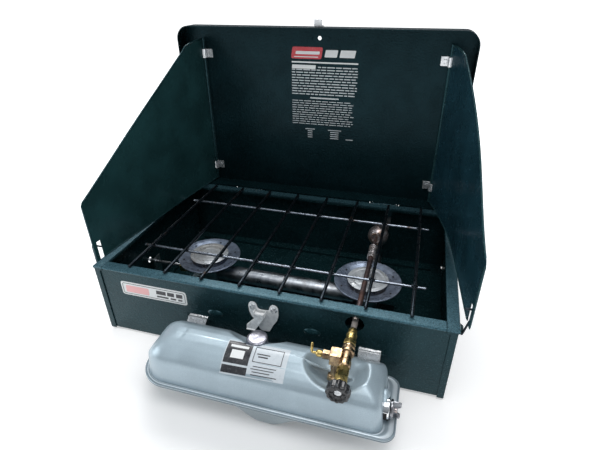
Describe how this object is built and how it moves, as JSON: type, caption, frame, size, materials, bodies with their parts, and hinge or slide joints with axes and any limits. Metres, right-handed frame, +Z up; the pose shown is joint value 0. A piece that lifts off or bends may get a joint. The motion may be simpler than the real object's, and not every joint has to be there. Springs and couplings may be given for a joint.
{
  "type": "camp stove",
  "caption": "Suitcase-style two-burner liquid-fuel camp stove: folding lid with wind baffles, wire pan grate, and a removable pressed-steel fuel tank with pump and generator hung on the front.",
  "frame": {"origin": "centre of the flat base that the case stands on, at ground height", "axes": "+X to the right along the front, +Y from the front to the back, +Z up"},
  "size_m": [0.4855, 0.4047, 0.383],
  "materials": {
    "green_enamel": "glossy orange-peel enamel over folded sheet steel",
    "tank_paint": "satin metallic paint over pressed steel",
    "zinc": "dull zinc plate, lightly scratched",
    "dark_steel": "dark oxidised steel, browned at the joints",
    "stainless": "stainless sheet with turned rings",
    "heated_steel": "steel browned by heat",
    "brass": "bright brass",
    "aged_brass": "browned brass",
    "chrome": "polished chrome plate",
    "black_plastic": "black moulded plastic",
    "pump_leather": "oiled pump leather",
    "gasket_rubber": "black fuel-proof rubber"
  },
  "bodies": {
    "case": {"case_tray": "green_enamel", "end_panel_left": "green_enamel", "end_panel_right": "green_enamel", "hinge_leaf_left": "green_enamel", "hinge_leaf_right": "green_enamel", "hook_bracket_left": "dark_steel", "hook_bracket_right": "dark_steel", "latch_plate": "zinc", "burner_rail": "green_enamel", "burner_cup_left": "stainless", "burner_dish_left": "stainless", "burner_rings_left": "stainless", "burner_cap_left": "stainless", "burner_cup_right": "stainless", "burner_dish_right": "stainless", "burner_rings_right": "stainless", "burner_cap_right": "stainless", "manifold_tube": "zinc", "mixing_bowl": "heated_steel", "mixing_tube": "zinc", "bowl_bracket": "zinc", "aux_valve_body": "brass", "aux_rod_bracket": "zinc"},
    "lid": {"lid_panel": "green_enamel", "lid_strike": "zinc", "hinge_pin_left": "green_enamel", "hinge_pin_right": "green_enamel", "baffle_clip_left_upper": "zinc", "baffle_clip_left_lower": "zinc", "baffle_clip_right_upper": "zinc", "baffle_clip_right_lower": "zinc"},
    "baffle_left_leaf": {"baffle_left": "green_enamel"},
    "baffle_right_leaf": {"baffle_right": "green_enamel"},
    "hook_left": {"hook_wire_left": "dark_steel"},
    "hook_right": {"hook_wire_right": "dark_steel"},
    "latch": {"latch_lever": "zinc"},
    "pan_grate": {"grate": "dark_steel"},
    "aux_valve": {"aux_valve_rod": "zinc", "aux_valve_lever": "zinc"},
    "tank": {"tank_upper_shell": "tank_paint", "tank_lower_shell": "tank_paint", "tank_hanger_left": "zinc", "tank_hanger_right": "zinc", "valve_riser": "dark_steel", "pickup_tube": "zinc", "valve_body": "aged_brass", "packing_nut": "brass", "generator_nut": "brass", "generator_tube": "heated_steel", "generator_coil": "heated_steel", "filler_neck": "zinc", "pump_barrel": "chrome"},
    "control": {"control_stem": "zinc", "control_knob": "black_plastic"},
    "lighting": {"lighting_lever": "aged_brass"},
    "cap_seal": {"cap_gasket": "gasket_rubber"},
    "cap": {"fuel_cap": "chrome"},
    "pump_plunger": {"pump_rod": "zinc", "pump_cup": "pump_leather"},
    "pump_grip": {"pump_handle": "zinc"}
  },
  "joints": [
    {"name": "lid_hinge", "type": "hinge", "parent": "case", "child": "lid", "pos_m": [0, 0.1422, 0.1066], "axis": [-1, 0, 0], "range_deg": [-0.8, 16]},
    {"name": "baffle_left_fold", "type": "hinge", "parent": "lid", "child": "baffle_left_leaf", "pos_m": [-0.19, 0.1602, 0.235], "axis": [0, 0, 1], "range_deg": [0, 96]},
    {"name": "baffle_right_fold", "type": "hinge", "parent": "lid", "child": "baffle_right_leaf", "pos_m": [0.19, 0.1562, 0.235], "axis": [0, 0, -1], "range_deg": [0, 97]},
    {"name": "hook_left_swing", "type": "hinge", "parent": "case", "child": "hook_left", "pos_m": [-0.233, -0.1173, 0.096], "axis": [0, -1, 0], "range_deg": [0, 170]},
    {"name": "hook_right_swing", "type": "hinge", "parent": "case", "child": "hook_right", "pos_m": [0.233, -0.1193, 0.096], "axis": [0, 1, 0], "range_deg": [0, 170]},
    {"name": "latch_lever_turn", "type": "hinge", "parent": "case", "child": "latch", "pos_m": [0.004, -0.1422, 0.084], "axis": [-1, 0, 0], "range_deg": [0, 120]},
    {"name": "grate_lift", "type": "slide", "parent": "case", "child": "pan_grate", "axis": [0, 0, 1], "range_m": [0, 0.15]},
    {"name": "aux_valve_turn", "type": "hinge", "parent": "case", "child": "aux_valve", "pos_m": [-0.22, -0.029, 0.046], "axis": [-1, 0, 0], "range_deg": [0, 90]},
    {"name": "tank_pull", "type": "slide", "parent": "case", "child": "tank", "axis": [0, -1, 0], "range_m": [0, 0.3]},
    {"name": "control_knob_turn", "type": "hinge", "parent": "tank", "child": "control", "pos_m": [0.118, -0.231, 0.091], "axis": [0, -1, 0], "range_deg": [0, 540]},
    {"name": "lighting_lever_turn", "type": "hinge", "parent": "tank", "child": "lighting", "pos_m": [0.095, -0.19, 0.091], "axis": [-1, 0, 0], "range_deg": [0, 90]},
    {"name": "cap_lift", "type": "slide", "parent": "tank", "child": "cap_seal", "axis": [0, 0, 1], "range_m": [0, 0.03]},
    {"name": "cap_turn", "type": "hinge", "parent": "cap_seal", "child": "cap", "pos_m": [0.0105, -0.169, 0.072], "axis": [0, 0, 1], "range_deg": [0, 540]},
    {"name": "pump_stroke", "type": "slide", "parent": "tank", "child": "pump_plunger", "axis": [1, 0, 0], "range_m": [0, 0.042]},
    {"name": "pump_twist", "type": "hinge", "parent": "pump_plunger", "child": "pump_grip", "pos_m": [0.173, -0.201, 0.0442], "axis": [1, 0, 0], "range_deg": [-360, 360]}
  ]
}
